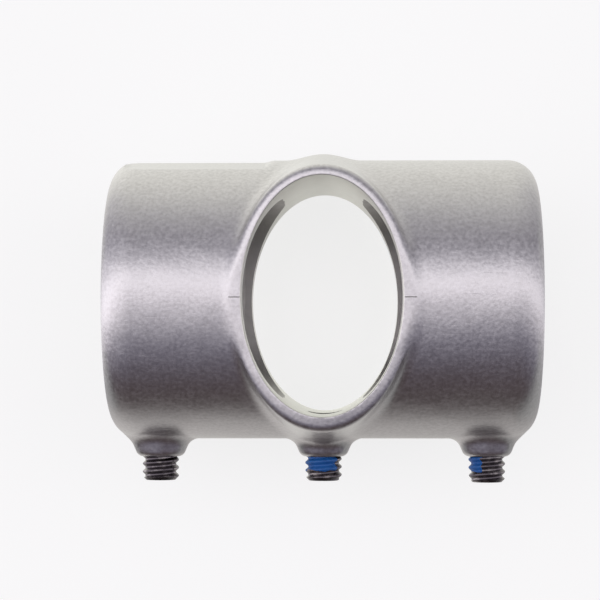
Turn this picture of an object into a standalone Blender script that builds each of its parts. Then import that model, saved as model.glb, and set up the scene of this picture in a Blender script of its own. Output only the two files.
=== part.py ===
"""Cast cross coupling for two tubes, with three socket set screws.

A round sleeve lies along X and takes a round tube. An oval hole crosses it along Z,
inside a raised collar, and takes an oval tube. Where the two cross, a cored relief opens
the bore a little wider. Three flared bosses on the -Y side
carry the set screws that clamp the tubes. Each screw has a nylon locking patch.
Units are metres. +Z is up, and the coupling lies on the collar's rear rim at z = 0.
"""
import math

import bmesh
import bpy
from mathutils import Matrix, Vector

MM = 0.001

# Sleeve: a turned tube along X with well rounded ends.
SLEEVE_RADIUS = 18.5 * MM
SLEEVE_LENGTH = 56.4 * MM
SLEEVE_END_ROUND = 3.8 * MM
BORE_RADIUS = 13.1 * MM
BORE_LEAD_IN = 0.4 * MM

# Cored relief in the bore at the crossing: a rounded bar along X, half sizes along Z and Y.
RELIEF_HALF = (14.4 * MM, 13.0 * MM)
RELIEF_CORNER = 8.9 * MM
RELIEF_LENGTH = 25.2 * MM

# Cross hole and its collar: semi-axes along X and along Y.
HOLE_SEMI = (10.2 * MM, 15.2 * MM)
COLLAR_RIM_SEMI = (11.4 * MM, 16.5 * MM)
COLLAR_MIDDLE_SEMI = (12.1 * MM, 19.42 * MM)
COLLAR_HALF_DEPTH = 18.75 * MM
COLLAR_EDGE_ROUND = 0.5 * MM

# Bosses: turned about Y. Distances are from the sleeve's axis.
BOSS_SPACING = 21.7 * MM
BOSS_FACE = 20.9 * MM
BOSS_FACE_RADIUS = 3.0 * MM
BOSS_EDGE_ROUND = 0.35 * MM
BOSS_SLOPE = 0.42
BOSS_FOOT = 15.6 * MM
BOSS_FILLET = 1.0 * MM
BOSS_FILLET_START = 19.1 * MM
BOSS_FILLET_END = 245

# Set screws: No. 10 with 24 threads to the inch, 5/16 inch long, 3/32 inch hex socket, cup point.
SCREW_RADIUS = 2.4 * MM
SCREW_ROOT_RADIUS = 1.78 * MM
SCREW_PITCH = 25.4 * MM / 24
SCREW_LENGTH = 7.94 * MM
SCREW_END_CHAMFER = 0.45 * MM
SOCKET_ACROSS_FLATS = 2.38 * MM
SOCKET_DEPTH = 2.4 * MM
CUP_RADIUS = 1.2 * MM
CUP_DEPTH = 0.6 * MM
SCREW_CLEARANCE = 0.08 * MM
CREST_SHARE = 0.13
FLANK_SHARE = 0.34

# Locking patches: a threaded shell set into a pocket in each screw.
PATCH_GAP = 0.3 * MM
PATCH_INNER_RADIUS = 1.9 * MM
PATCH_ROOT_RADIUS = 2.14 * MM
PATCH_ANGLE = math.radians(150)
PATCH_FROM_END = 1.1 * MM
PATCH_LENGTH = 3.4 * MM

# Each screw: place along X, distances from the sleeve's axis of its outer end and of a thread
# crest on its +X side, and the direction its patch faces, as an angle from +Z towards +X.
SCREWS = {
    "left": (-BOSS_SPACING, 24.0 * MM, 22.39 * MM, math.radians(170)),
    "middle": (0.0, 24.07 * MM, 22.24 * MM, math.radians(-22)),
    "right": (BOSS_SPACING, 24.27 * MM, 22.87 * MM, math.radians(-92)),
}

# The sleeve's axis, placed so that the origin is under the middle of the whole part.
AXIS_Y = (max(end for _, end, _, _ in SCREWS.values()) - COLLAR_MIDDLE_SEMI[1]) / 2
AXIS_Z = COLLAR_HALF_DEPTH
CENTRE = Vector((0, AXIS_Y, AXIS_Z))

ROUND_STEPS = 48
HOLE_STEPS = 20
BOSS_STEPS = 20
THREAD_STEPS = 16
BLANK_STEPS = 24
EDGE_STEPS = 3
CORNER_STEPS = 5
FILLET_STEPS = 4
SECTOR_STEPS = 10
POCKET_STEPS = 12
MERGE_DISTANCE = 1e-7

# Turns of the drills and the screw blanks, as shares of a step, that keep facets out of line.
DRILL_PHASE = 0.5
BLANK_PHASE = 0.4

SMOOTH_ANGLE = math.radians(35)
OVERCUT = 2 * MM

ALONG_X = Matrix.Rotation(math.radians(90), 3, "Y")
ALONG_MINUS_Y = Matrix.Rotation(math.radians(90), 3, "X")


def clear_scene():
    for old in list(bpy.data.objects):
        bpy.data.objects.remove(old, do_unlink=True)


def make_material(name, colour, metallic, roughness):
    material = bpy.data.materials.new(name)
    material.use_nodes = True
    shader = material.node_tree.nodes["Principled BSDF"]
    shader.inputs["Base Color"].default_value = (*colour, 1)
    shader.inputs["Metallic"].default_value = metallic
    shader.inputs["Roughness"].default_value = roughness
    material.diffuse_color = (*colour, 1)
    return material


def finish_object(name, bm, turn, place, material=None):
    """Turn a bmesh built around +Z, put it in place, and make it an object."""
    bmesh.ops.recalc_face_normals(bm, faces=bm.faces)
    mesh = bpy.data.meshes.new(name)
    bm.to_mesh(mesh)
    bm.free()
    mesh.transform(turn.to_4x4())
    item = bpy.data.objects.new(name, mesh)
    item.location = place
    bpy.context.collection.objects.link(item)
    if material:
        mesh.materials.append(material)
        mesh.shade_smooth()
        mesh.set_sharp_from_angle(angle=SMOOTH_ANGLE)
    return item


def turned(profile, steps, phase=0):
    """Spin a profile of (radius, height) points, listed from the axis back to the axis, about Z.

    The phase is a share of one step. It keeps the facets of two crossing shapes out of line.
    """
    bm = bmesh.new()
    points = [bm.verts.new((radius, 0, height)) for radius, height in profile]
    edges = [bm.edges.new(pair) for pair in zip(points, points[1:])]
    bmesh.ops.spin(
        bm,
        geom=points + edges,
        cent=(0, 0, 0),
        axis=(0, 0, 1),
        angle=math.tau,
        steps=steps,
        use_merge=True,
    )
    bmesh.ops.remove_doubles(bm, verts=bm.verts, dist=MERGE_DISTANCE)
    turn = Matrix.Rotation(math.tau * phase / steps, 3, "Z")
    bmesh.ops.rotate(bm, verts=bm.verts, cent=(0, 0, 0), matrix=turn)
    return bm


def arc(centre, radius, start, end, steps):
    """Points of (radius, height) along an arc, with its angles in degrees."""
    points = []
    for step in range(steps + 1):
        angle = math.radians(start + (end - start) * step / steps)
        points.append((centre[0] + radius * math.cos(angle), centre[1] + radius * math.sin(angle)))
    return points


def oval_loft(sections, steps):
    """A closed solid through ellipses of (semi_x, semi_y, z), listed from the bottom up."""
    bm = bmesh.new()
    loops = []
    for semi_x, semi_y, z in sections:
        circle = bmesh.ops.create_circle(bm, segments=steps, radius=1)["verts"]
        for vert in circle:
            vert.co = Vector((vert.co.x * semi_x, vert.co.y * semi_y, z))
        loops.append(circle)
    for lower, upper in zip(loops, loops[1:]):
        edges = [edge for edge in bm.edges if all(v in lower for v in edge.verts)]
        edges += [edge for edge in bm.edges if all(v in upper for v in edge.verts)]
        bmesh.ops.bridge_loops(bm, edges=edges)
    bmesh.ops.contextual_create(bm, geom=loops[0])
    bmesh.ops.contextual_create(bm, geom=loops[-1])
    return bm


def rounded_bar(half_x, half_y, corner, length, steps):
    """A closed bar along Z, centred, whose section is a rectangle with rounded corners."""
    bm = bmesh.new()
    outline = []
    for quarter, (side_x, side_y) in enumerate(((1, 1), (-1, 1), (-1, -1), (1, -1))):
        centre = (side_x * (half_x - corner), side_y * (half_y - corner))
        outline += arc(centre, corner, 90 * quarter, 90 * quarter + 90, steps)
    face = bm.faces.new([bm.verts.new((x, y, -length / 2)) for x, y in outline])
    raised = bmesh.ops.extrude_face_region(bm, geom=[face])["geom"]
    top = [item for item in raised if isinstance(item, bmesh.types.BMVert)]
    bmesh.ops.translate(bm, verts=top, vec=(0, 0, length))
    return bm


def boolean(item, operation, operand):
    """Join or cut with an operand, which is a guide and not a node."""
    operand.hide_render = True
    operand.display_type = "WIRE"
    modifier = item.modifiers.new(operand.name, "BOOLEAN")
    modifier.operation = operation
    modifier.object = operand
    modifier.solver = "EXACT"


def sleeve_profile():
    half = SLEEVE_LENGTH / 2
    inner = half - SLEEVE_END_ROUND
    shoulder = SLEEVE_RADIUS - SLEEVE_END_ROUND
    lower = arc((shoulder, -inner), SLEEVE_END_ROUND, -90, 0, CORNER_STEPS)
    upper = arc((shoulder, inner), SLEEVE_END_ROUND, 0, 90, CORNER_STEPS)
    return [(0, -half)] + lower + upper + [(0, half)]


def bore_profile():
    half = SLEEVE_LENGTH / 2
    wide = BORE_RADIUS + BORE_LEAD_IN + OVERCUT
    return [
        (0, -half - OVERCUT),
        (wide, -half - OVERCUT),
        (BORE_RADIUS, -half + BORE_LEAD_IN),
        (BORE_RADIUS, half - BORE_LEAD_IN),
        (wide, half + OVERCUT),
        (0, half + OVERCUT),
    ]


def collar_sections():
    """Ellipses from the rear rim to the front rim, drafted from the middle and rounded at the rims."""
    straight = COLLAR_HALF_DEPTH - COLLAR_EDGE_ROUND
    upper = [(*COLLAR_MIDDLE_SEMI, 0)]
    for step in range(EDGE_STEPS + 1):
        angle = math.radians(90 * step / EDGE_STEPS)
        inset = COLLAR_EDGE_ROUND * (1 - math.cos(angle))
        height = straight + COLLAR_EDGE_ROUND * math.sin(angle)
        upper.append((COLLAR_RIM_SEMI[0] - inset, COLLAR_RIM_SEMI[1] - inset, height))
    lower = [(semi_x, semi_y, -z) for semi_x, semi_y, z in reversed(upper[1:])]
    return lower + upper


def boss_profile():
    """A boss from its foot inside the sleeve, out along a fillet and a cone, to its rounded face."""
    edge = BOSS_FACE_RADIUS - BOSS_EDGE_ROUND
    neck = BOSS_FACE_RADIUS + BOSS_SLOPE * (BOSS_FACE - BOSS_FILLET_START)
    tilt = math.degrees(math.atan(BOSS_SLOPE))
    turn = math.radians(tilt)
    centre = (
        neck + BOSS_FILLET * math.cos(turn),
        BOSS_FILLET_START + BOSS_FILLET * math.sin(turn),
    )
    fillet = arc(centre, BOSS_FILLET, BOSS_FILLET_END, 180 + tilt, FILLET_STEPS)
    face = arc((edge, BOSS_FACE - BOSS_EDGE_ROUND), BOSS_EDGE_ROUND, 0, 90, EDGE_STEPS)
    return [(0, BOSS_FOOT), (fillet[0][0], BOSS_FOOT)] + fillet + face + [(0, BOSS_FACE)]


def make_body(material):
    sleeve = turned(sleeve_profile(), ROUND_STEPS)
    body = finish_object("coupling_body", sleeve, ALONG_X, CENTRE, material)
    upright = Matrix.Identity(3)
    collar = finish_object("collar_form", oval_loft(collar_sections(), ROUND_STEPS), upright, CENTRE)
    boolean(body, "UNION", collar)
    for side, (x, *_) in SCREWS.items():
        place = CENTRE + Vector((x, 0, 0))
        boss = turned(boss_profile(), BOSS_STEPS)
        boolean(body, "UNION", finish_object(f"boss_form_{side}", boss, ALONG_MINUS_Y, place))
    bore = finish_object("bore_cutter", turned(bore_profile(), ROUND_STEPS), ALONG_X, CENTRE)
    boolean(body, "DIFFERENCE", bore)
    relief = rounded_bar(*RELIEF_HALF, RELIEF_CORNER, RELIEF_LENGTH, CORNER_STEPS)
    boolean(body, "DIFFERENCE", finish_object("relief_cutter", relief, ALONG_X, CENTRE))
    hole_depth = COLLAR_HALF_DEPTH + OVERCUT
    hole = oval_loft([(*HOLE_SEMI, -hole_depth), (*HOLE_SEMI, hole_depth)], ROUND_STEPS)
    boolean(body, "DIFFERENCE", finish_object("oval_cutter", hole, upright, CENTRE))
    reach = BOSS_FACE + OVERCUT
    start = BORE_RADIUS - OVERCUT
    radius = SCREW_RADIUS + SCREW_CLEARANCE
    drill_profile = [(0, start), (radius, start), (radius, reach), (0, reach)]
    for side, (x, *_) in SCREWS.items():
        place = CENTRE + Vector((x, 0, 0))
        drill = turned(drill_profile, HOLE_STEPS, DRILL_PHASE)
        boolean(body, "DIFFERENCE", finish_object(f"screw_hole_{side}", drill, ALONG_MINUS_Y, place))


def thread_rod(root_radius, end, crest_place):
    """A closed threaded rod about Z, longer than the screw, with a crest at a given height over +X.

    Column j is turned by j steps and raised by j steps of the pitch, so that four rows make one
    thread: root, root, crest, crest. The last column joins the first one, one thread higher.
    """
    flank = FLANK_SHARE * SCREW_PITCH
    crest = CREST_SHARE * SCREW_PITCH
    root = SCREW_PITCH - crest - 2 * flank
    section = [
        (root_radius, 0),
        (root_radius, root),
        (SCREW_RADIUS, root + flank),
        (SCREW_RADIUS, root + flank + crest),
    ]
    turns = math.ceil(SCREW_LENGTH / SCREW_PITCH) + 3
    start = crest_place - root - flank - crest / 2
    start -= SCREW_PITCH * math.ceil((start - end + SCREW_LENGTH) / SCREW_PITCH + 1)
    rows = 4 * turns
    bm = bmesh.new()
    grid = []
    for column in range(THREAD_STEPS):
        share = column / THREAD_STEPS
        angle = math.tau * share
        line = []
        for row in range(rows + 1):
            radius, rise = section[row % 4]
            height = start + SCREW_PITCH * (row // 4 + share) + rise
            line.append(bm.verts.new((radius * math.cos(angle), radius * math.sin(angle), height)))
        grid.append(line)
    for column in range(THREAD_STEPS - 1):
        for row in range(rows):
            near, far = grid[column], grid[column + 1]
            bm.faces.new((near[row], far[row], far[row + 1], near[row + 1]))
    last, first = grid[-1], grid[0]
    for row in range(rows - 4):
        bm.faces.new((last[row], first[row + 4], first[row + 5], last[row + 1]))
    bottom = bm.verts.new((0, 0, start - SCREW_PITCH))
    bottom_loop = [line[0] for line in grid] + [first[row] for row in range(4, 0, -1)]
    top = bm.verts.new((0, 0, start + SCREW_PITCH * (turns + 2)))
    top_loop = [line[rows] for line in grid] + [last[row] for row in range(rows - 1, rows - 5, -1)]
    for apex, loop in ((bottom, bottom_loop), (top, top_loop)):
        for one, other in zip(loop, loop[1:] + loop[:1]):
            bm.faces.new((apex, one, other))
    return bm


def sector(inner, outer, low, high, facing, width, steps):
    """A ring sector about Z, from a low to a high height, facing an angle from +X."""
    bm = bmesh.new()
    outline = ((inner, low), (outer, low), (outer, high), (inner, high))
    corners = [bm.verts.new((radius, 0, z)) for radius, z in outline]
    face = bm.faces.new(corners)
    bmesh.ops.spin(bm, geom=[face], cent=(0, 0, 0), axis=(0, 0, 1), angle=width, steps=steps)
    turn = Matrix.Rotation(facing - width / 2, 3, "Z")
    bmesh.ops.rotate(bm, verts=bm.verts, cent=(0, 0, 0), matrix=turn)
    return bm


def screw_blank_profile(end):
    """The screw's outline without its thread: cup point, point chamfer and end chamfer."""
    tip = end - SCREW_LENGTH
    wide = SCREW_RADIUS + OVERCUT
    return [
        (0, tip + CUP_DEPTH),
        (CUP_RADIUS, tip),
        (wide, tip + wide - CUP_RADIUS),
        (wide, end - SCREW_END_CHAMFER - OVERCUT),
        (SCREW_RADIUS - SCREW_END_CHAMFER, end),
        (0, end),
    ]


def hex_socket(end):
    """The cutter for a hexagonal socket in the screw's outer end."""
    bm = bmesh.new()
    bmesh.ops.create_cone(
        bm,
        cap_ends=True,
        segments=6,
        radius1=SOCKET_ACROSS_FLATS / math.sqrt(3),
        radius2=SOCKET_ACROSS_FLATS / math.sqrt(3),
        depth=SOCKET_DEPTH + OVERCUT,
        matrix=Matrix.Translation((0, 0, end + (OVERCUT - SOCKET_DEPTH) / 2)),
    )
    return bm


def make_screw(side, x, end, crest_place, facing, steel, nylon):
    """One set screw and its locking patch, with the screw's own Z pointing out of its boss."""
    place = CENTRE + Vector((x, 0, 0))
    rod = thread_rod(SCREW_ROOT_RADIUS, end, crest_place)
    screw = finish_object(f"set_screw_{side}", rod, ALONG_MINUS_Y, place, steel)
    blank = turned(screw_blank_profile(end), BLANK_STEPS, BLANK_PHASE)
    boolean(screw, "INTERSECT", finish_object(f"blank_{side}", blank, ALONG_MINUS_Y, place))
    socket = finish_object(f"socket_{side}", hex_socket(end), ALONG_MINUS_Y, place)
    boolean(screw, "DIFFERENCE", socket)

    high = end - PATCH_FROM_END
    low = high - PATCH_LENGTH
    outer = SCREW_RADIUS + OVERCUT
    angle = math.radians(90) - facing
    floor = PATCH_INNER_RADIUS - PATCH_GAP
    gap_angle = 2 * PATCH_GAP / PATCH_INNER_RADIUS
    width = PATCH_ANGLE + gap_angle
    pocket = sector(floor, outer, low - PATCH_GAP, high + PATCH_GAP, angle, width, POCKET_STEPS)
    boolean(screw, "DIFFERENCE", finish_object(f"pocket_{side}", pocket, ALONG_MINUS_Y, place))

    patch_rod = thread_rod(PATCH_ROOT_RADIUS, end, crest_place)
    patch = finish_object(f"thread_patch_{side}", patch_rod, ALONG_MINUS_Y, place, nylon)
    shell = sector(PATCH_INNER_RADIUS, outer, low, high, angle, PATCH_ANGLE, SECTOR_STEPS)
    boolean(patch, "INTERSECT", finish_object(f"patch_shell_{side}", shell, ALONG_MINUS_Y, place))


def main():
    clear_scene()
    cast = make_material("cast_metal", (0.56, 0.55, 0.56), 0.9, 0.42)
    steel = make_material("black_oxide_steel", (0.05, 0.048, 0.05), 0.8, 0.35)
    nylon = make_material("blue_nylon", (0.02, 0.12, 0.42), 0.0, 0.5)
    make_body(cast)
    for side, (x, end, crest_place, facing) in SCREWS.items():
        make_screw(side, x, end, crest_place, facing, steel, nylon)


main()
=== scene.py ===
"""Looks of the cast cross coupling: fine meshes, materials, floor, light and camera.

Units are metres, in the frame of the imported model. The cast body is described as a field, the
distance to its surface, which gives it soft cast fillets. The field is turned into a mesh, and
the machined holes are cut into that mesh. Screws and locking patches follow one thread formula.
"""
import math

import bmesh
import bpy
import numpy as np
from mathutils import Matrix, Vector


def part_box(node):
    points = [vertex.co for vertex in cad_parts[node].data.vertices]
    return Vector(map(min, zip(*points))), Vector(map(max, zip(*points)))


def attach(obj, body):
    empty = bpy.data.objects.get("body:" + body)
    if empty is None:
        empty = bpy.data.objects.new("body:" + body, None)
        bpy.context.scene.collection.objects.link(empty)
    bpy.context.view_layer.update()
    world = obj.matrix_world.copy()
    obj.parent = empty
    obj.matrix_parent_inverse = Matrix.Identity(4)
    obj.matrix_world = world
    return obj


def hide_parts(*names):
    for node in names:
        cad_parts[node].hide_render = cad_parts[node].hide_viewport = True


MM = 0.001

# Sleeve along X, with the bore through it.
SLEEVE_RADIUS = 18.5 * MM
SLEEVE_END_ROUND = 3.8 * MM
BORE_RADIUS = 13.1 * MM
BORE_LEAD_IN = 0.4 * MM

# Cored relief in the bore at the crossing: half sizes along Z and Y of its rounded section.
RELIEF_HALF = (14.4 * MM, 13.0 * MM)
RELIEF_CORNER = 8.9 * MM
RELIEF_LENGTH = 25.2 * MM
RELIEF_TAPER = 1.5 * MM
RELIEF_STEPS = 24

# Oval hole and its collar along Z: semi-axes along X and along Y, at the rims and halfway down.
HOLE_SEMI = np.array((10.2, 15.2)) * MM
HOLE_LIP = 0.15 * MM
COLLAR_RIM_SEMI = np.array((11.4, 16.5)) * MM
COLLAR_MIDDLE_SEMI = np.array((12.1, 19.42)) * MM
COLLAR_RIM_DROP = 0.25 * MM
COLLAR_EDGE_ROUND = 0.75 * MM

# Fillet between the collar and the sleeve, halfway down and at the rims.
COLLAR_FILLETS = (0.8 * MM, 1.6 * MM)

# How the rims fall away outward from the hole: a slope, how much less of it there is on the +Y
# side and more on the -Y side, and a crown that grows with the square of the distance.
RIM_SLOPE = 0.105
RIM_LEAN = 0.05
RIM_CROWN = 0.03 / MM

# Bosses along -Y. Distances are from the sleeve's axis.
BOSS_FACE = 20.9 * MM
BOSS_FACE_RADIUS = 3.0 * MM
BOSS_EDGE_ROUND = 0.62 * MM
BOSS_SLOPE = 0.42
BOSS_FOOT = 15.6 * MM
BOSS_FILLET = 1.0 * MM

# A flat strip on the +Y side of the sleeve's left half, where the casting's gate was ground off.
GATE_SPAN = (-25.8 * MM, -7.8 * MM)
GATE_DEPTH = 0.62 * MM
GATE_END_SLOPE = 0.5
GATE_ANGLE = math.radians(80.2)

# Short marks of the mould's parting line on both sides of the front rim: wedges cut into it.
MARK_SPANS = ((-11.75 * MM, -10.3 * MM), (10.4 * MM, 11.9 * MM))
MARK_PLACE = -0.15 * MM
MARK_WIDTH = 0.065 * MM
MARK_DEPTH = 0.31 * MM

# Set screws.
SCREW_RADIUS = 2.4 * MM
SCREW_ROOT_RADIUS = 2.05 * MM
SCREW_PITCH = 25.4 * MM / 24
SCREW_LENGTH = 7.94 * MM
SCREW_END_CHAMFER = 0.45 * MM
SOCKET_ACROSS_FLATS = 2.38 * MM
SOCKET_DEPTH = 2.4 * MM
SOCKET_POINT = 0.5 * MM
SOCKET_EDGE = 0.1 * MM
CUP_RADIUS = 1.2 * MM
CUP_DEPTH = 0.6 * MM

# Half widths of the thread's crest and root, and how far its corners are blurred, in turns.
CREST_HALF = 0.1
ROOT_HALF = 0.095
CORNER_BLUR = 0.03

# Tapped holes: their clearance to the screws, and the countersink in the boss's face.
TAPPED_GAP = 0.09 * MM
SINK_MARGIN = 0.15 * MM
SINK_DEPTH = 0.4 * MM

# Locking patches. Past their uneven edge they dip under the screw's surface.
PATCH_ANGLE = math.radians(150)
PATCH_FROM_END = 1.25 * MM
PATCH_LENGTH = 3.4 * MM
PATCH_THICKNESS = 0.04 * MM
PATCH_EDGE_DIP = 0.1 * MM
PATCH_EDGE_UNEVEN = 0.05
PATCH_EDGE_INSET = 0.12
PATCH_EDGE_STEEPNESS = 5
PATCH_WAVES = 5
PATCH_WAVE_RATES = (2, 9)
PATCH_WAVE_SLANT = 1.7
PATCH_BACK_RADIUS = 1.6 * MM
PATCH_COLUMNS = 64
PATCH_ROWS_PER_TURN = 18

# Each screw: distance from the sleeve's axis of a thread crest on its +X side, and the
# direction its patch faces, as an angle from +Z towards +X.
SCREWS = {
    "left": (22.39 * MM, math.radians(170)),
    "middle": (22.24 * MM, math.radians(-22)),
    "right": (22.87 * MM, math.radians(-92)),
}

# Camera: its distance from the object, and how far its aim and its own place are off centre.
# The picture's scale is in picture elements per millimetre of the object.
CAMERA_DISTANCE = 308 * MM
CAMERA_AIM = (-3.15 * MM, -0.07 * MM)
CAMERA_SHIFT = (6.67 * MM, -7.6 * MM)
PICTURE_SCALE = 7.5
PICTURE_SIZE = 600
SENSOR_WIDTH = 36
CLIP_START = 10 * MM
FLOOR_RADIUS = 3000 * MM

# The studio tent's colour by lean, in degrees: 0 is up along +Z, 90 is level along +Y, -90 is
# level along -Y, where the bosses face, and 180 is straight down.
TENT_COLOURS = (
    (-180, (0.96, 0.96, 0.90)),
    (-168, (0.72, 0.71, 0.68)),
    (-155, (0.54, 0.52, 0.51)),
    (-130, (0.51, 0.49, 0.485)),
    (-118, (0.42, 0.405, 0.40)),
    (-108, (0.23, 0.215, 0.215)),
    (-97, (0.085, 0.070, 0.071)),
    (-76, (0.082, 0.060, 0.064)),
    (-60, (0.105, 0.09, 0.11)),
    (-45, (0.15, 0.14, 0.185)),
    (-34, (0.215, 0.205, 0.265)),
    (-20, (0.44, 0.42, 0.475)),
    (-4, (0.79, 0.75, 0.81)),
    (6, (1.24, 1.17, 1.26)),
    (12, (1.50, 1.44, 1.54)),
    (18, (1.22, 1.17, 1.25)),
    (25, (0.72, 0.69, 0.76)),
    (33, (0.34, 0.33, 0.38)),
    (42, (0.20, 0.19, 0.23)),
    (52, (0.33, 0.315, 0.35)),
    (70, (0.57, 0.56, 0.57)),
    (90, (0.77, 0.76, 0.73)),
    (115, (0.93, 0.92, 0.87)),
    (145, (1.00, 1.00, 0.95)),
    (180, (0.96, 0.96, 0.90)),
)
BACKDROP_COLOUR = (0.93, 0.93, 0.925)

# How the tent bends towards its sides. A direction's rise is its Z plus 1, and its tilt is its X
# over its softened rise. Reaches are limits on X, and bends are angles at a full tilt.
TILT_SOFTENING = 0.2
FADE_SLOPE = 2.3
FADE_START = 1.9
LEFT_REACH = 0.1
RIGHT_REACH = 0.055
RIGHT_SQUEEZE = 1.6
BEND_UP = math.radians(15)
BEND_ACROSS = math.radians(-20)

# How the tent's brightness changes towards its sides.
SIDE_GAIN = 0.13
TILT_LOSS = 0.1
LEFT_GAIN = 4.0

# Light bounced from below: it starts at this Z of a direction and grows downwards, up to the most.
BOUNCE_HEIGHT = -0.15
BOUNCE_SLOPE = 1.1
BOUNCE_TILT = 0.2
BOUNCE_MOST = 0.36

# Meshes: the sampled field's grid, the threads' grid, and the cutters' steps. The phases turn the
# cutters by a share of a step, which keeps their facets out of line with each other.
FIELD_STEP = 0.36 * MM
FIELD_MARGIN = 1.2 * MM
THREAD_COLUMNS = 56
THREAD_ROWS = 12
BORE_STEPS = 256
BORE_PHASE = 0.5
OVAL_STEPS = 192
SINK_STEPS = 64
SINK_PHASE = 0.3
BLANK_STEPS = 72
BLANK_PHASE = 0.4
SOCKET_PHASE = 0.1
SMOOTH_ANGLE = math.radians(32)
WELD_DISTANCE = 0.0001 * MM
OVERCUT = 2 * MM

# The usual range of a noise node's values.
NOISE_SPREAD = (0.3, 0.7)

ALONG_X = Matrix.Rotation(math.radians(90), 3, "Y")
ALONG_MINUS_Y = Matrix.Rotation(math.radians(90), 3, "X")
UPRIGHT = Matrix.Identity(3)

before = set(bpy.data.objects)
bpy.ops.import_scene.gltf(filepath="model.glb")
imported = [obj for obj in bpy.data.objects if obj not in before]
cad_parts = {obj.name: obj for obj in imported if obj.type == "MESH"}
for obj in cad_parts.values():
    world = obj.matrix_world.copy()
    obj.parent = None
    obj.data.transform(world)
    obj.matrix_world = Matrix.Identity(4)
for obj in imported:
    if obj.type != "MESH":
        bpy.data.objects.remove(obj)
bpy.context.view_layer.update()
body_low, body_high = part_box("coupling_body")
HALF_LENGTH = (body_high.x - body_low.x) / 2
HALF_DEPTH = (body_high.z - body_low.z) / 2
CENTRE = Vector((
    (body_low.x + body_high.x) / 2,
    body_high.y - COLLAR_MIDDLE_SEMI[1],
    (body_low.z + body_high.z) / 2,
))


# ---------------------------------------------------------------- meshes

def make_object(name, mesh, material=None):
    item = bpy.data.objects.new(name, mesh)
    bpy.context.scene.collection.objects.link(item)
    if material:
        mesh.materials.append(material)
    return item


def place_bmesh(name, bm, turn, place, material=None):
    """Turn a bmesh built around +Z, put its points in place, and make it an object."""
    bmesh.ops.recalc_face_normals(bm, faces=bm.faces)
    mesh = bpy.data.meshes.new(name)
    bm.to_mesh(mesh)
    bm.free()
    mesh.transform(Matrix.Translation(place) @ turn.to_4x4())
    return make_object(name, mesh, material)


def combine(item, operation, operand):
    """Join or cut with an operand, and remove the operand."""
    modifier = item.modifiers.new(operand.name, "BOOLEAN")
    modifier.operation = operation
    modifier.object = operand
    modifier.solver = "EXACT"
    modifier.material_mode = "TRANSFER"
    graph = bpy.context.evaluated_depsgraph_get()
    result = bpy.data.meshes.new_from_object(item.evaluated_get(graph))
    item.modifiers.clear()
    item.data = result
    bpy.data.objects.remove(operand)
    return item


def smooth(item):
    item.data.shade_smooth()
    item.data.set_sharp_from_angle(angle=SMOOTH_ANGLE)


def turned(profile, steps, phase=0):
    """Spin a profile of (radius, height) points, listed from the axis back to the axis, about Z."""
    bm = bmesh.new()
    points = [bm.verts.new((radius, 0, height)) for radius, height in profile]
    edges = [bm.edges.new(pair) for pair in zip(points, points[1:])]
    bmesh.ops.spin(
        bm,
        geom=points + edges,
        cent=(0, 0, 0),
        axis=(0, 0, 1),
        angle=math.tau,
        steps=steps,
        use_merge=True,
    )
    bmesh.ops.remove_doubles(bm, verts=bm.verts, dist=WELD_DISTANCE)
    turn = Matrix.Rotation(math.tau * phase / steps, 3, "Z")
    bmesh.ops.rotate(bm, verts=bm.verts, cent=(0, 0, 0), matrix=turn)
    return bm


def oval_loft(sections, steps):
    """A closed solid through ellipses of (semi_x, semi_y, z), listed from the bottom up."""
    bm = bmesh.new()
    loops = []
    for semi_x, semi_y, z in sections:
        loop = []
        for step in range(steps):
            angle = math.tau * (step + 0.5) / steps
            loop.append(bm.verts.new((semi_x * math.cos(angle), semi_y * math.sin(angle), z)))
        loops.append(loop)
    for lower, upper in zip(loops, loops[1:]):
        for step in range(steps):
            after = (step + 1) % steps
            bm.faces.new((lower[step], lower[after], upper[after], upper[step]))
    bm.faces.new(loops[0])
    bm.faces.new(loops[-1])
    return bm


# ---------------------------------------------------------------- the cast body's field

def rounded_corner(first, second, radius):
    """Distance to the overlap of two half spaces, its edge rounded."""
    outside = np.hypot(np.maximum(first + radius, 0), np.maximum(second + radius, 0))
    return np.minimum(np.maximum(first, second), -radius) + outside


def filleted_union(first, second, radius):
    """Distance to two joined shapes, the groove between them filled by a round fillet."""
    groove = np.hypot(np.maximum(radius - first, 0), np.maximum(radius - second, 0))
    return np.maximum(np.minimum(first, second), radius) - groove


def oval_distance(x, y, semi_x, semi_y):
    """Roughly the distance outside an ellipse."""
    least_slope = 1e-3
    reach = np.hypot(x / semi_x, y / semi_y)
    slope = np.hypot(x / semi_x**2, y / semi_y**2)
    return reach * (reach - 1) / np.maximum(slope, least_slope)


def sleeve_field(x, y, z):
    side = np.hypot(y, z) - SLEEVE_RADIUS
    return rounded_corner(side, np.abs(x) - HALF_LENGTH, SLEEVE_END_ROUND)


def gate_field(x, y, z):
    """Negative inside the metal that was ground off."""
    centre = sum(GATE_SPAN) / 2
    half = (GATE_SPAN[1] - GATE_SPAN[0]) / 2
    above = y * math.sin(GATE_ANGLE) + z * math.cos(GATE_ANGLE) - (SLEEVE_RADIUS - GATE_DEPTH)
    return GATE_END_SLOPE * np.maximum(np.abs(x - centre) - half, 0) - above


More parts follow.
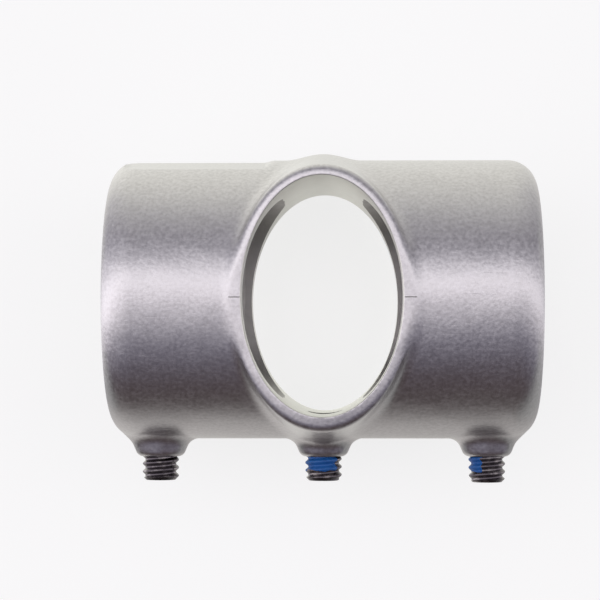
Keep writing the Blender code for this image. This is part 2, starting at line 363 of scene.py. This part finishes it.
def collar_field(x, y, z):
    share = np.minimum(np.abs(z) / HALF_DEPTH, 1)
    rim_x, rim_y = COLLAR_RIM_SEMI + (0, COLLAR_RIM_DROP)
    middle_x, middle_y = COLLAR_MIDDLE_SEMI
    semi_x = middle_x + (rim_x - middle_x) * share
    semi_y = middle_y + (rim_y - middle_y) * share
    side = oval_distance(x, y + COLLAR_RIM_DROP * share, semi_x, semi_y)
    outward = np.maximum(oval_distance(x, y, *HOLE_SEMI), 0)
    crown = (RIM_SLOPE - RIM_LEAN * y / HOLE_SEMI[1]) * outward + RIM_CROWN * outward**2
    return rounded_corner(side, np.abs(z) - HALF_DEPTH + crown, COLLAR_EDGE_ROUND)


def boss_field(x, y, z, place):
    height = -y
    radius = BOSS_FACE_RADIUS + BOSS_SLOPE * (BOSS_FACE - height)
    side = (np.hypot(x - place, z) - radius) / math.hypot(1, BOSS_SLOPE)
    cone = rounded_corner(side, height - BOSS_FACE, BOSS_EDGE_ROUND)
    return np.maximum(cone, BOSS_FOOT - height)


def body_field(x, y, z, places):
    """Distance to the casting's outer skin, before the holes are cut."""
    field = np.maximum(sleeve_field(x, y, z), -gate_field(x, y, z))
    fillet = COLLAR_FILLETS[0] + (COLLAR_FILLETS[1] - COLLAR_FILLETS[0]) * (z / HALF_DEPTH) ** 2
    field = filleted_union(field, collar_field(x, y, z), fillet)
    for place in places:
        field = filleted_union(field, boss_field(x, y, z, place), BOSS_FILLET)
    return np.maximum(field, np.abs(z) - HALF_DEPTH)


def project(points, field, rounds):
    """Move points onto the field's zero surface along its slope."""
    nudge = 0.002 * MM
    least_steepness = 0.05
    for _ in range(rounds):
        value = field(*points.T)
        slope = np.empty_like(points)
        for axis in range(3):
            ahead, behind = points.copy(), points.copy()
            ahead[:, axis] += nudge
            behind[:, axis] -= nudge
            slope[:, axis] = (field(*ahead.T) - field(*behind.T)) / (2 * nudge)
        steepness = np.maximum((slope**2).sum(1), least_steepness)
        points = points - slope * (value / steepness)[:, None]
    return points


def surface_net(values, low, step):
    """Points and quads of the surface where a sampled field changes sign: one point per cell."""
    inside = values < 0
    corners = [np.array((i, j, k)) for i in (0, 1) for j in (0, 1) for k in (0, 1)]
    shape = np.array(values.shape) - 1
    count = sum(
        inside[c[0]:c[0] + shape[0], c[1]:c[1] + shape[1], c[2]:c[2] + shape[2]].astype(np.int8)
        for c in corners
    )
    cells = np.argwhere((count > 0) & (count < len(corners)))
    total = np.zeros(cells.shape)
    crossings = np.zeros(len(cells))
    for start in corners:
        for axis in range(3):
            if start[axis]:
                continue
            end = start.copy()
            end[axis] = 1
            near = values[tuple((cells + start).T)]
            far = values[tuple((cells + end).T)]
            crossed = (near < 0) != (far < 0)
            share = np.where(crossed, near / np.where(crossed, near - far, 1), 0)
            total += (start + share[:, None] * (end - start)) * crossed[:, None]
            crossings += crossed
    points = low + step * (cells + total / crossings[:, None])

    number = np.full(shape, -1)
    number[tuple(cells.T)] = np.arange(len(cells))
    quads = []
    for axis in range(3):
        side, up = (axis + 1) % 3, (axis + 2) % 3
        here = np.moveaxis(inside, axis, 0)
        changed = np.moveaxis(here[:-1] != here[1:], 0, axis)
        edges = np.argwhere(changed)
        starts_inside = inside[tuple(edges.T)]
        right, over = np.eye(3, dtype=int)[side], np.eye(3, dtype=int)[up]
        ring = [edges - right - over, edges - over, edges, edges - right]
        quad = np.stack([number[tuple(cell.T)] for cell in ring], axis=1)
        quad[~starts_inside] = quad[~starts_inside][:, ::-1]
        quads.append(quad)
    return points, np.concatenate(quads)


def relax(points, quads, field, rounds):
    """Even out the points' spacing: move each towards its neighbours' middle, then onto the field."""
    share = 0.6
    edges = np.concatenate([quads[:, (i, (i + 1) % 4)] for i in range(4)])
    for _ in range(rounds):
        total = np.zeros_like(points)
        count = np.zeros(len(points))
        np.add.at(total, edges[:, 0], points[edges[:, 1]])
        np.add.at(count, edges[:, 0], 1)
        points = project(points + share * (total / count[:, None] - points), field, rounds=2)
    return points


def cast_skin(material):
    """The casting's outer skin as a fine closed mesh."""
    places = [screw_place(side) for side in SCREWS]
    high = np.array((HALF_LENGTH, COLLAR_MIDDLE_SEMI[1], HALF_DEPTH)) + FIELD_MARGIN
    low = np.array((-HALF_LENGTH, -BOSS_FACE, -HALF_DEPTH)) - FIELD_MARGIN
    axes = [np.arange(a, b + FIELD_STEP, FIELD_STEP) for a, b in zip(low, high)]
    x, y, z = np.meshgrid(*axes, indexing="ij", sparse=True)

    def field(x, y, z):
        return body_field(x, y, z, places)

    points, quads = surface_net(field(x, y, z), low, FIELD_STEP)
    points = project(points, field, rounds=3)
    points = relax(points, quads, field, rounds=3)
    mesh = bpy.data.meshes.new("cast_body")
    mesh.from_pydata((points + np.array(CENTRE)).tolist(), [], quads.tolist())
    mesh.update()
    return make_object("cast_body", mesh, material)


# ---------------------------------------------------------------- threads

def screw_place(side):
    low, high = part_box(f"set_screw_{side}")
    return (low.x + high.x) / 2 - CENTRE.x


def screw_end(side):
    """Distance of a screw's outer end from the sleeve's axis."""
    return CENTRE.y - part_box(f"set_screw_{side}")[0].y


def thread_share(phase):
    """0 at the thread's root and 1 at its crest, for a phase in turns from the crest's middle."""
    off = abs(phase - round(phase))
    flank = 0.5 - CREST_HALF - ROOT_HALF
    nearby = [off + CORNER_BLUR * step for step in (1, 0.5, 0, -0.5, -1)]
    shares = [(0.5 - ROOT_HALF - place) / flank for place in nearby]
    return sum(min(max(share, 0), 1) for share in shares) / len(shares)


def screw_radius(phase):
    return SCREW_ROOT_RADIUS + (SCREW_RADIUS - SCREW_ROOT_RADIUS) * thread_share(phase)


def tapped_radius(phase):
    return screw_radius(phase) + TAPPED_GAP


def thread_rod(radius_at, low, high, crest_place):
    """A closed threaded rod about Z, from about a low to a high height, with a crest over +X.

    Column j is turned by j steps and raised by j steps of the pitch, so that its rows follow the
    thread. The last column joins the first one, one thread higher.
    """
    first_turn = math.floor((low - crest_place) / SCREW_PITCH) - 1
    turns = math.ceil((high - low) / SCREW_PITCH) + 2
    start = crest_place + SCREW_PITCH * first_turn
    rows = THREAD_ROWS * turns
    bm = bmesh.new()
    grid = []
    for column in range(THREAD_COLUMNS):
        angle = math.tau * column / THREAD_COLUMNS
        line = []
        for row in range(rows + 1):
            radius = radius_at(row / THREAD_ROWS)
            height = start + SCREW_PITCH * (row / THREAD_ROWS + column / THREAD_COLUMNS)
            line.append(bm.verts.new((radius * math.cos(angle), radius * math.sin(angle), height)))
        grid.append(line)
    for near, far in zip(grid, grid[1:]):
        for row in range(rows):
            bm.faces.new((near[row], far[row], far[row + 1], near[row + 1]))
    first, last = grid[0], grid[-1]
    for row in range(rows - THREAD_ROWS):
        up = row + THREAD_ROWS
        bm.faces.new((last[row], first[up], first[up + 1], last[row + 1]))
    bottom = bm.verts.new((0, 0, start - SCREW_PITCH))
    bottom_loop = [line[0] for line in grid] + first[THREAD_ROWS:0:-1]
    top = bm.verts.new((0, 0, start + SCREW_PITCH * (turns + 2)))
    top_loop = [line[rows] for line in grid] + last[rows - 1:rows - THREAD_ROWS - 1:-1]
    for apex, loop in ((bottom, bottom_loop), (top, top_loop)):
        for one, other in zip(loop, loop[1:] + loop[:1]):
            bm.faces.new((apex, one, other))
    return bm


# ---------------------------------------------------------------- the cast body's holes

def oval_hole_sections():
    """Ellipses through the oval hole, from below the rear rim to above the front one, with lips."""
    upper = [(*HOLE_SEMI, 0)]
    for degrees in (0, 30, 60, 90):
        angle = math.radians(degrees)
        grown = HOLE_LIP * (1 - math.cos(angle))
        upper.append((*(HOLE_SEMI + grown), HALF_DEPTH - HOLE_LIP * (1 - math.sin(angle))))
    upper.append((*(HOLE_SEMI + HOLE_LIP), HALF_DEPTH + OVERCUT))
    return [(a, b, -z) for a, b, z in reversed(upper[1:])] + upper


def bore_profile():
    """Half outline of the bore, widening at both mouths."""
    wide = BORE_RADIUS + BORE_LEAD_IN + OVERCUT
    mouth = HALF_LENGTH - BORE_LEAD_IN
    return [
        (0, -HALF_LENGTH - OVERCUT),
        (wide, -HALF_LENGTH - OVERCUT),
        (BORE_RADIUS, -mouth),
        (BORE_RADIUS, mouth),
        (wide, HALF_LENGTH + OVERCUT),
        (0, HALF_LENGTH + OVERCUT),
    ]


def relief_bar():
    """The cored relief's cutter about Z: a bar of rounded section with tapered ends."""
    bm = bmesh.new()
    half = RELIEF_LENGTH / 2
    straight = half - RELIEF_TAPER
    corner_x, corner_y = (size - RELIEF_CORNER for size in RELIEF_HALF)
    loops = []
    for z, inset in ((-half, RELIEF_TAPER), (-straight, 0), (straight, 0), (half, RELIEF_TAPER)):
        radius = RELIEF_CORNER - inset
        loop = []
        for quarter, (side_x, side_y) in enumerate(((1, 1), (-1, 1), (-1, -1), (1, -1))):
            for step in range(RELIEF_STEPS + 1):
                angle = math.radians(90 * (quarter + step / RELIEF_STEPS))
                x = side_x * corner_x + radius * math.cos(angle)
                y = side_y * corner_y + radius * math.sin(angle)
                loop.append(bm.verts.new((x, y, z)))
        loops.append(loop)
    for lower, upper in zip(loops, loops[1:]):
        for one, other, above, beside in zip(lower, lower[1:] + lower[:1], upper[1:] + upper[:1], upper):
            bm.faces.new((one, other, above, beside))
    bm.faces.new(loops[0])
    bm.faces.new(loops[-1])
    return bm


def sink_profile():
    """Half outline of the countersink in a boss's face."""
    mouth = SCREW_RADIUS + SINK_MARGIN
    return [
        (0, BOSS_FACE - SINK_DEPTH),
        (mouth - SINK_DEPTH, BOSS_FACE - SINK_DEPTH),
        (mouth + OVERCUT, BOSS_FACE + OVERCUT),
        (0, BOSS_FACE + OVERCUT),
    ]


def hole_cutter(bored, oval):
    """One solid of all that is cut from the casting."""
    bore = turned(bore_profile(), BORE_STEPS, BORE_PHASE)
    cutter = place_bmesh("cutter", bore, ALONG_X, CENTRE, bored)
    combine(cutter, "UNION", place_bmesh("relief", relief_bar(), ALONG_X, CENTRE, bored))
    hole = oval_loft(oval_hole_sections(), OVAL_STEPS)
    combine(cutter, "UNION", place_bmesh("oval_hole", hole, UPRIGHT, CENTRE, oval))
    start = BORE_RADIUS - OVERCUT
    for side, (crest_place, _) in SCREWS.items():
        place = CENTRE + Vector((screw_place(side), 0, 0))
        rod = thread_rod(tapped_radius, start, BOSS_FACE + OVERCUT, crest_place)
        tapped = place_bmesh("tapped", rod, ALONG_MINUS_Y, place, bored)
        sink = turned(sink_profile(), SINK_STEPS, SINK_PHASE)
        combine(tapped, "UNION", place_bmesh("sink", sink, ALONG_MINUS_Y, place, bored))
        combine(cutter, "UNION", tapped)
    return cutter


def mark_groove(low, high):
    """A narrow wedge along X that scratches the front rim."""
    bm = bmesh.new()
    top = HALF_DEPTH + MARK_WIDTH
    ends = []
    for x in (low, high):
        section = ((-MARK_WIDTH, top), (MARK_WIDTH, top), (0, HALF_DEPTH - MARK_DEPTH))
        ends.append([bm.verts.new((x, MARK_PLACE + y, z)) for y, z in section])
    for first, second in ((0, 1), (1, 2), (2, 0)):
        bm.faces.new((ends[0][first], ends[0][second], ends[1][second], ends[1][first]))
    for end in ends:
        bm.faces.new(end)
    return bm


def make_body(cast, bored, oval):
    body = cast_skin(cast)
    # The marks' grooves take the oval wall's lighter material: painted light over the shade in the
    # grooves.
    for low, high in MARK_SPANS:
        combine(body, "DIFFERENCE", place_bmesh("mark", mark_groove(low, high), UPRIGHT, CENTRE, oval))
    combine(body, "DIFFERENCE", hole_cutter(bored, oval))
    smooth(body)
    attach(body, "body")
    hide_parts("coupling_body")


# ---------------------------------------------------------------- screws and patches

def screw_blank_profile(end):
    """The screw's outline without its thread: cup point, point chamfer and end chamfer."""
    tip = end - SCREW_LENGTH
    wide = SCREW_RADIUS + OVERCUT
    return [
        (0, tip + CUP_DEPTH),
        (CUP_RADIUS, tip),
        (wide, tip + wide - CUP_RADIUS),
        (wide, end - SCREW_END_CHAMFER - OVERCUT),
        (SCREW_RADIUS - SCREW_END_CHAMFER, end),
        (0, end),
    ]


def socket_profile(end):
    """Half outline of the hexagonal socket, with a drilled bottom and a broken edge."""
    corner = SOCKET_ACROSS_FLATS / math.sqrt(3)
    floor = end - SOCKET_DEPTH
    return [
        (0, floor - SOCKET_POINT),
        (corner, floor),
        (corner, end - SOCKET_EDGE),
        (corner + SOCKET_EDGE + OVERCUT, end + OVERCUT),
        (0, end + OVERCUT),
    ]


def make_screw(side, crest_place, steel):
    end = screw_end(side)
    place = CENTRE + Vector((screw_place(side), 0, 0))
    rod = thread_rod(screw_radius, end - SCREW_LENGTH, end, crest_place)
    screw = place_bmesh(f"screw_{side}", rod, ALONG_MINUS_Y, place, steel)
    blank = turned(screw_blank_profile(end), BLANK_STEPS, BLANK_PHASE)
    combine(screw, "INTERSECT", place_bmesh("blank", blank, ALONG_MINUS_Y, place, steel))
    socket = turned(socket_profile(end), 6, SOCKET_PHASE)
    combine(screw, "DIFFERENCE", place_bmesh("socket", socket, ALONG_MINUS_Y, place, steel))
    smooth(screw)
    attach(screw, f"screw_{side}")
    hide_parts(f"set_screw_{side}")


def patch_cover(across, along, waves):
    """1 where a patch is whole, falling to -1 past its uneven edge. Its middle is at 0, 0."""
    spot = across + PATCH_WAVE_SLANT * along
    uneven = sum(math.sin(rate * spot + start) for rate, start in waves)
    inside = 1 - max(abs(across), abs(along)) ** 2
    edge = inside + PATCH_EDGE_UNEVEN * uneven - PATCH_EDGE_INSET
    return min(max(edge * PATCH_EDGE_STEEPNESS, -1), 1)


def patch_shell(side, crest_place, facing):
    """A closed solid whose outer side is the nylon's surface and whose inner side is in the screw."""
    middle = screw_end(side) - PATCH_FROM_END - PATCH_LENGTH / 2
    centre_angle = math.radians(90) - facing
    columns = PATCH_COLUMNS
    rows = int(PATCH_LENGTH / SCREW_PITCH * PATCH_ROWS_PER_TURN)
    rng = np.random.default_rng(list(SCREWS).index(side))
    waves = [(rng.uniform(*PATCH_WAVE_RATES), rng.uniform(0, math.tau)) for _ in range(PATCH_WAVES)]
    bm = bmesh.new()
    outer, inner = [], []
    for column in range(columns + 1):
        across = 2 * column / columns - 1
        angle = centre_angle + across * PATCH_ANGLE / 2
        front, back = [], []
        for row in range(rows + 1):
            along = 2 * row / rows - 1
            height = middle + along * PATCH_LENGTH / 2
            phase = (height - crest_place) / SCREW_PITCH - angle / math.tau
            cover = patch_cover(across, along, waves)
            film = PATCH_THICKNESS if cover > 0 else PATCH_EDGE_DIP
            radius = screw_radius(phase) + film * cover
            for line, reach in ((front, radius), (back, PATCH_BACK_RADIUS)):
                spot = (reach * math.cos(angle), reach * math.sin(angle), height)
                line.append(bm.verts.new(spot))
        outer.append(front)
        inner.append(back)
    for grid in (outer, inner):
        for near, far in zip(grid, grid[1:]):
            for row in range(rows):
                bm.faces.new((near[row], far[row], far[row + 1], near[row + 1]))
    for front, back in ((outer[0], inner[0]), (outer[-1], inner[-1])):
        for row in range(rows):
            bm.faces.new((front[row], front[row + 1], back[row + 1], back[row]))
    for row in (0, rows):
        for column in range(columns):
            after = column + 1
            bm.faces.new((outer[column][row], outer[after][row], inner[after][row], inner[column][row]))
    return bm


def make_patch(side, crest_place, facing, nylon):
    """A film of nylon fused over part of the thread, thinning out to an uneven edge."""
    shell = patch_shell(side, crest_place, facing)
    place = CENTRE + Vector((screw_place(side), 0, 0))
    patch = place_bmesh(f"patch_{side}", shell, ALONG_MINUS_Y, place, nylon)
    smooth(patch)
    patch.visible_glossy = False
    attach(patch, f"screw_{side}")
    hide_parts(f"thread_patch_{side}")


# ---------------------------------------------------------------- materials

class Shader:
    """A short way to build a material's nodes. Linked nodes override the plain values."""

    def __init__(self, name, colour, metallic, roughness):
        self.material = bpy.data.materials.new(name)
        self.material.use_nodes = True
        self.nodes = self.material.node_tree.nodes
        self.links = self.material.node_tree.links
        self.surface = self.nodes["Principled BSDF"]
        self.surface.inputs["Base Color"].default_value = (*colour, 1)
        self.surface.inputs["Metallic"].default_value = metallic
        self.surface.inputs["Roughness"].default_value = roughness
        self.place = self.nodes.new("ShaderNodeTexCoord").outputs["Object"]

    def stretched(self, scale):
        node = self.nodes.new("ShaderNodeMapping")
        node.inputs["Scale"].default_value = scale
        self.links.new(self.place, node.inputs["Vector"])
        return node.outputs["Vector"]

    def noise(self, scale, detail=2, place=None):
        node = self.nodes.new("ShaderNodeTexNoise")
        node.inputs["Scale"].default_value = scale
        node.inputs["Detail"].default_value = detail
        self.links.new(place or self.place, node.inputs["Vector"])
        return node.outputs["Fac"]

    def ranged(self, value, seen, given):
        """Turn a range of values that is seen into a given range."""
        node = self.nodes.new("ShaderNodeMapRange")
        for name, number in zip(("From Min", "From Max", "To Min", "To Max"), (*seen, *given)):
            node.inputs[name].default_value = number
        self.links.new(value, node.inputs["Value"])
        return node.outputs["Result"]

    def mixed(self, share, first, second):
        node = self.nodes.new("ShaderNodeMix")
        node.data_type = "RGBA"
        self.links.new(share, node.inputs["Factor"])
        node.inputs["A"].default_value = (*first, 1)
        node.inputs["B"].default_value = (*second, 1)
        return node.outputs["Result"]

    def bump(self, height, distance, strength=1):
        node = self.nodes.new("ShaderNodeBump")
        node.inputs["Distance"].default_value = distance
        node.inputs["Strength"].default_value = strength
        self.links.new(height, node.inputs["Height"])
        before = self.surface.inputs["Normal"]
        if before.is_linked:
            self.links.new(before.links[0].from_socket, node.inputs["Normal"])
        self.links.new(node.outputs["Normal"], before)

    def set(self, name, socket):
        self.links.new(socket, self.surface.inputs[name])


def cast_metal():
    """Bead-blasted casting: fine grain over a slightly wavy skin, with a few scratches."""
    shader = Shader("cast_metal", (0.68, 0.67, 0.665), 1, 0.33)
    grain = shader.noise(scale=2200, detail=3)
    tint = shader.ranged(grain, seen=NOISE_SPREAD, given=(0, 1))
    shader.set("Base Color", shader.mixed(tint, (0.60, 0.59, 0.585), (0.77, 0.76, 0.755)))
    shader.bump(shader.noise(scale=120), distance=0.22 * MM, strength=0.7)
    shader.bump(grain, distance=0.026 * MM, strength=0.8)
    scratches = shader.noise(scale=1, place=shader.stretched((260, 5200, 5200)))
    scratches = shader.ranged(scratches, seen=(0.68, 0.74), given=(1, 0))
    shader.bump(scratches, distance=0.01 * MM, strength=0.5)
    shader.set("Roughness", shader.ranged(grain, seen=NOISE_SPREAD, given=(0.29, 0.38)))
    return shader.material


def bored_metal_painted_shade():
    """Bare machined bore with fine turning marks across its axis, its colour darker than the casting's
    skin: painted shade in the bore, the relief and the tapped holes.
    """
    shader = Shader("bored_metal_painted_shade", (0.50, 0.49, 0.47), 1, 0.55)
    marks = shader.noise(scale=1, detail=3, place=shader.stretched((5200, 60, 60)))
    shader.bump(marks, distance=0.012 * MM, strength=0.7)
    wear = shader.noise(scale=900)
    shader.set("Roughness", shader.ranged(wear, seen=NOISE_SPREAD, given=(0.50, 0.62)))
    return shader.material


def oval_metal_painted_light():
    """The oval hole's wall, smoother than the casting's skin and lighter in colour: painted light, a
    lighter copy of the cast metal that brightens the wall.
    """
    shader = Shader("oval_metal_painted_light", (0.78, 0.78, 0.72), 0.85, 0.38)
    shader.bump(shader.noise(scale=2600), distance=0.008 * MM, strength=0.6)
    wear = shader.noise(scale=700)
    shader.set("Roughness", shader.ranged(wear, seen=NOISE_SPREAD, given=(0.35, 0.41)))
    return shader.material


def screw_steel():
    """Black oxide with worn, brighter spots."""
    shader = Shader("screw_steel", (0.25, 0.24, 0.24), 1, 0.2)
    wear = shader.ranged(shader.noise(scale=900, detail=3), seen=(0.48, 0.72), given=(0, 1))
    shader.set("Base Color", shader.mixed(wear, (0.11, 0.10, 0.108), (0.36, 0.34, 0.33)))
    spots = shader.noise(scale=2400)
    shader.set("Roughness", shader.ranged(spots, seen=NOISE_SPREAD, given=(0.16, 0.3)))
    shader.bump(shader.noise(scale=3000, detail=3), distance=0.01 * MM, strength=0.6)
    return shader.material


def patch_nylon():
    """Blue nylon, fused on and slightly lumpy."""
    shader = Shader("patch_nylon", (0.03, 0.13, 0.42), 0, 0.48)
    tint = shader.noise(scale=1500, detail=3)
    shader.set("Base Color", shader.mixed(tint, (0.005, 0.072, 0.31), (0.018, 0.16, 0.48)))
    shader.bump(shader.noise(scale=2600, detail=3), distance=0.03 * MM, strength=0.7)
    return shader.material


def floor_paper():
    shader = Shader("floor_paper", (0.25, 0.25, 0.25), 0, 0.9)
    shader.surface.inputs["Specular IOR Level"].default_value = 0.1
    shader.surface.inputs["Emission Color"].default_value = (1, 1, 0.995, 1)
    shader.surface.inputs["Emission Strength"].default_value = 0.78
    return shader.material


# ---------------------------------------------------------------- surroundings

def make_floor():
    bm = bmesh.new()
    bmesh.ops.create_circle(bm, cap_ends=True, segments=64, radius=FLOOR_RADIUS)
    floor = place_bmesh("floor", bm, UPRIGHT, Vector((0, 0, body_low.z)), floor_paper())
    floor.visible_glossy = False


class WorldNodes:
    """A short way to build the world's arithmetic: a float is set on a node, a socket is linked."""

    def __init__(self, tree):
        self.nodes = tree.nodes
        self.links = tree.links

    def maths(self, operation, first, second=0.0):
        node = self.nodes.new("ShaderNodeMath")
        node.operation = operation
        for socket, value in zip(node.inputs, (first, second)):
            if isinstance(value, float):
                socket.default_value = value
            else:
                self.links.new(value, socket)
        return node.outputs["Value"]

    def plus(self, first, second):
        return self.maths("ADD", first, second)

    def minus(self, first, second):
        return self.maths("SUBTRACT", first, second)

    def times(self, first, second):
        return self.maths("MULTIPLY", first, second)

    def limited(self, value, low, high):
        return self.maths("MAXIMUM", self.maths("MINIMUM", value, high), low)


def tent_sideways(tree, lean, tilt):
    """How far a direction tilts to either side. On the -X side it fades out towards -Y."""
    fade = tree.plus(tree.times(tree.maths("SINE", lean), FADE_SLOPE), FADE_START)
    fade = tree.limited(fade, 0.0, 1.0)
    return tree.maths("MAXIMUM", tilt, tree.times(tree.times(tilt, -1.0), fade))


def tent_share(tree, x, lean, wave, leftward, sideways):
    """Where a direction meets the tent's colours, from 0 to 1: its lean, bent by its side parts."""
    rightward = tree.limited(x, 0.0, RIGHT_REACH)
    squeeze = tree.times(rightward, tree.minus(tree.times(wave, RIGHT_SQUEEZE), RIGHT_SQUEEZE))
    squeezed = tree.plus(lean, tree.plus(tree.times(leftward, wave), squeeze))
    up = tree.times(tree.maths("COSINE", lean), BEND_UP)
    across = tree.times(tree.maths("SINE", lean), BEND_ACROSS)
    bent = tree.plus(squeezed, tree.times(sideways, tree.plus(up, across)))
    return tree.plus(tree.times(bent, 1 / math.tau), 0.5)


def tent_colour(tree, share):
    ramp = tree.nodes.new("ShaderNodeValToRGB")
    tree.links.new(share, ramp.inputs["Fac"])
    while len(ramp.color_ramp.elements) < len(TENT_COLOURS):
        ramp.color_ramp.elements.new(0.5)
    for element, (degrees, colour) in zip(ramp.color_ramp.elements, TENT_COLOURS):
        element.position = 0.5 + degrees / 360
        element.color = (*colour, 1)
    return ramp.outputs["Color"]


def tent_strength(tree, wave, tilt, leftward, sideways):
    """1 in the middle, a little different towards each side."""
    brightness = tree.minus(tree.times(sideways, SIDE_GAIN), tree.times(tilt, TILT_LOSS))
    upper = tree.maths("MAXIMUM", tree.minus(wave, 0.5), 0.0)
    brightness = tree.minus(brightness, tree.times(tree.times(leftward, upper), LEFT_GAIN))
    return tree.plus(brightness, 1.0)


def tent_bounce(tree, z, tilt):
    """Grey light from below, as if off the floor, less of it on the -X side."""
    below = tree.times(tree.minus(BOUNCE_HEIGHT, z), BOUNCE_SLOPE)
    below = tree.plus(below, tree.times(tree.maths("MINIMUM", tilt, 0.0), BOUNCE_TILT))
    return tree.limited(below, 0.0, BOUNCE_MOST)


def lighter(tree, colour, bounce):
    mix = tree.nodes.new("ShaderNodeMix")
    mix.data_type = "RGBA"
    mix.blend_type = "LIGHTEN"
    mix.inputs["Factor"].default_value = 1
    tree.links.new(colour, mix.inputs["A"])
    tree.links.new(bounce, mix.inputs["B"])
    return mix.outputs["Result"]


def make_light():
    """A pale studio tent, its roof bright and the side that the bosses face dark."""
    world = bpy.data.worlds.new("studio")
    bpy.context.scene.world = world
    world.use_nodes = True
    tree = WorldNodes(world.node_tree)
    direction = tree.nodes.new("ShaderNodeTexCoord").outputs["Generated"]
    parts = tree.nodes.new("ShaderNodeSeparateXYZ")
    tree.links.new(direction, parts.inputs["Vector"])
    x, y, z = parts.outputs

    rise = tree.plus(z, 1.0)
    lean = tree.times(tree.maths("ARCTAN2", y, rise), 2.0)
    tilt = tree.limited(tree.maths("DIVIDE", x, tree.plus(rise, TILT_SOFTENING)), -1.0, 1.0)
    wave = tree.maths("SINE", tree.times(lean, 2.0))
    leftward = tree.limited(x, -LEFT_REACH, 0.0)
    sideways = tent_sideways(tree, lean, tilt)
    share = tent_share(tree, x, lean, wave, leftward, sideways)
    colour = lighter(tree, tent_colour(tree, share), tent_bounce(tree, z, tilt))
    strength = tent_strength(tree, wave, tilt, leftward, sideways)

    background = tree.nodes["Background"]
    tree.links.new(colour, background.inputs["Color"])
    tree.links.new(strength, background.inputs["Strength"])
    backdrop = tree.nodes.new("ShaderNodeBackground")
    backdrop.inputs["Color"].default_value = (*BACKDROP_COLOUR, 1)
    seen = tree.nodes.new("ShaderNodeLightPath").outputs["Is Camera Ray"]
    choose = tree.nodes.new("ShaderNodeMixShader")
    tree.links.new(seen, choose.inputs["Fac"])
    tree.links.new(background.outputs["Background"], choose.inputs[1])
    tree.links.new(backdrop.outputs["Background"], choose.inputs[2])
    tree.links.new(choose.outputs["Shader"], tree.nodes["World Output"].inputs["Surface"])


def make_camera():
    camera = bpy.data.objects.new("camera", bpy.data.cameras.new("camera"))
    bpy.context.scene.collection.objects.link(camera)
    aim = CENTRE + Vector((*CAMERA_AIM, 0))
    camera.location = aim + Vector((*CAMERA_SHIFT, CAMERA_DISTANCE))
    back = (camera.location - aim).normalized()
    right = Vector((0, 1, 0)).cross(back).normalized()
    turn = Matrix((right, back.cross(right), back)).transposed()
    camera.rotation_euler = turn.to_euler()
    camera.data.sensor_width = SENSOR_WIDTH
    focal = CAMERA_DISTANCE / MM * PICTURE_SCALE
    camera.data.lens = focal * SENSOR_WIDTH / PICTURE_SIZE
    camera.data.clip_start = CLIP_START
    bpy.context.scene.camera = camera


bpy.context.scene.view_settings.view_transform = "Standard"
make_camera()
make_light()
make_floor()
make_body(cast_metal(), bored_metal_painted_shade(), oval_metal_painted_light())
steel, nylon = screw_steel(), patch_nylon()
for side, (crest_place, facing) in SCREWS.items():
    make_screw(side, crest_place, steel)
    make_patch(side, crest_place, facing, nylon)
